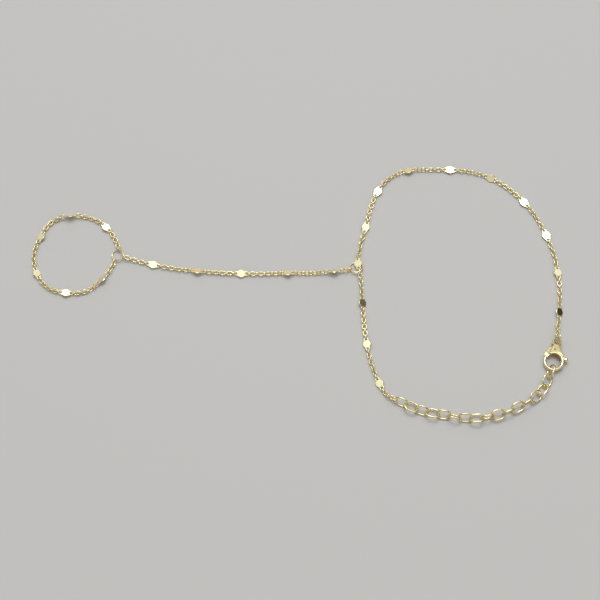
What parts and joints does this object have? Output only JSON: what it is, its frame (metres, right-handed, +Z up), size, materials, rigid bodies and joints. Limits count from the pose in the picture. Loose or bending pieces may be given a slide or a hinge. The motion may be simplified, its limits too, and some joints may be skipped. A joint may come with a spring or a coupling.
{
  "type": "hand chain bracelet",
  "caption": "Fine cable chain with round mirror discs, laid flat: a finger loop, a chain over the back of the hand and a wrist loop with extender and lobster clasp.",
  "frame": {"origin": "middle of the footprint, on the surface that the piece lies on", "axes": "+X from the finger loop towards the clasp, +Y away from the viewer, +Z up from the surface"},
  "size_m": [0.1554, 0.0821, 0.0032],
  "materials": {
    "fine_chain_gold": "polished, pale yellow gold plate",
    "mirror_disc_gold": "mirror polished, pale yellow gold plate",
    "jump_ring_gold": "polished, pale yellow gold plate",
    "extender_gold": "polished, pale yellow gold plate",
    "clasp_gold": "polished cast metal, pale yellow gold plate"
  },
  "bodies": {
    "root": {"finger_chain": "fine_chain_gold", "hand_chain": "fine_chain_gold", "wrist_chain_upper": "fine_chain_gold", "wrist_chain_lower": "fine_chain_gold", "junction_link": "fine_chain_gold", "finger_ring": "jump_ring_gold", "hand_ring": "jump_ring_gold", "clasp_ring": "jump_ring_gold", "clasp_body": "clasp_gold", "clasp_rivet": "clasp_gold", "mirror_disc_01": "mirror_disc_gold", "mirror_disc_02": "mirror_disc_gold", "mirror_disc_03": "mirror_disc_gold", "mirror_disc_04": "mirror_disc_gold", "mirror_disc_05": "mirror_disc_gold", "mirror_disc_06": "mirror_disc_gold", "mirror_disc_07": "mirror_disc_gold", "mirror_disc_08": "mirror_disc_gold", "mirror_disc_09": "mirror_disc_gold", "mirror_disc_10": "mirror_disc_gold", "mirror_disc_11": "mirror_disc_gold", "mirror_disc_12": "mirror_disc_gold", "mirror_disc_13": "mirror_disc_gold", "mirror_disc_14": "mirror_disc_gold", "mirror_disc_15": "mirror_disc_gold", "mirror_disc_16": "mirror_disc_gold", "mirror_disc_17": "mirror_disc_gold", "mirror_disc_18": "mirror_disc_gold", "mirror_disc_19": "mirror_disc_gold", "mirror_disc_20": "mirror_disc_gold", "mirror_disc_21": "mirror_disc_gold", "mirror_disc_22": "mirror_disc_gold", "mirror_disc_23": "mirror_disc_gold", "mirror_disc_24": "mirror_disc_gold", "extender_link_01": "extender_gold", "extender_link_02": "extender_gold", "extender_link_03": "extender_gold", "extender_link_04": "extender_gold", "extender_link_05": "extender_gold", "extender_link_06": "extender_gold", "extender_link_07": "extender_gold", "extender_link_08": "extender_gold", "extender_link_09": "extender_gold", "extender_link_10": "extender_gold", "extender_link_11": "extender_gold", "extender_link_12": "extender_gold", "extender_link_13": "extender_gold", "extender_link_14": "extender_gold", "extender_link_15": "extender_gold", "extender_link_16": "extender_gold", "extender_link_17": "extender_gold"},
    "lever": {"clasp_lever": "clasp_gold"}
  },
  "joints": [
    {"name": "gate_hinge", "type": "hinge", "parent": "root", "child": "lever", "pos_m": [0.07352, -0.01917, 0.0011], "axis": [0, 0, 1], "range_deg": [0, 22], "stiffness_Nm_per_rad": 0.005, "springref_deg": -11.46}
  ]
}
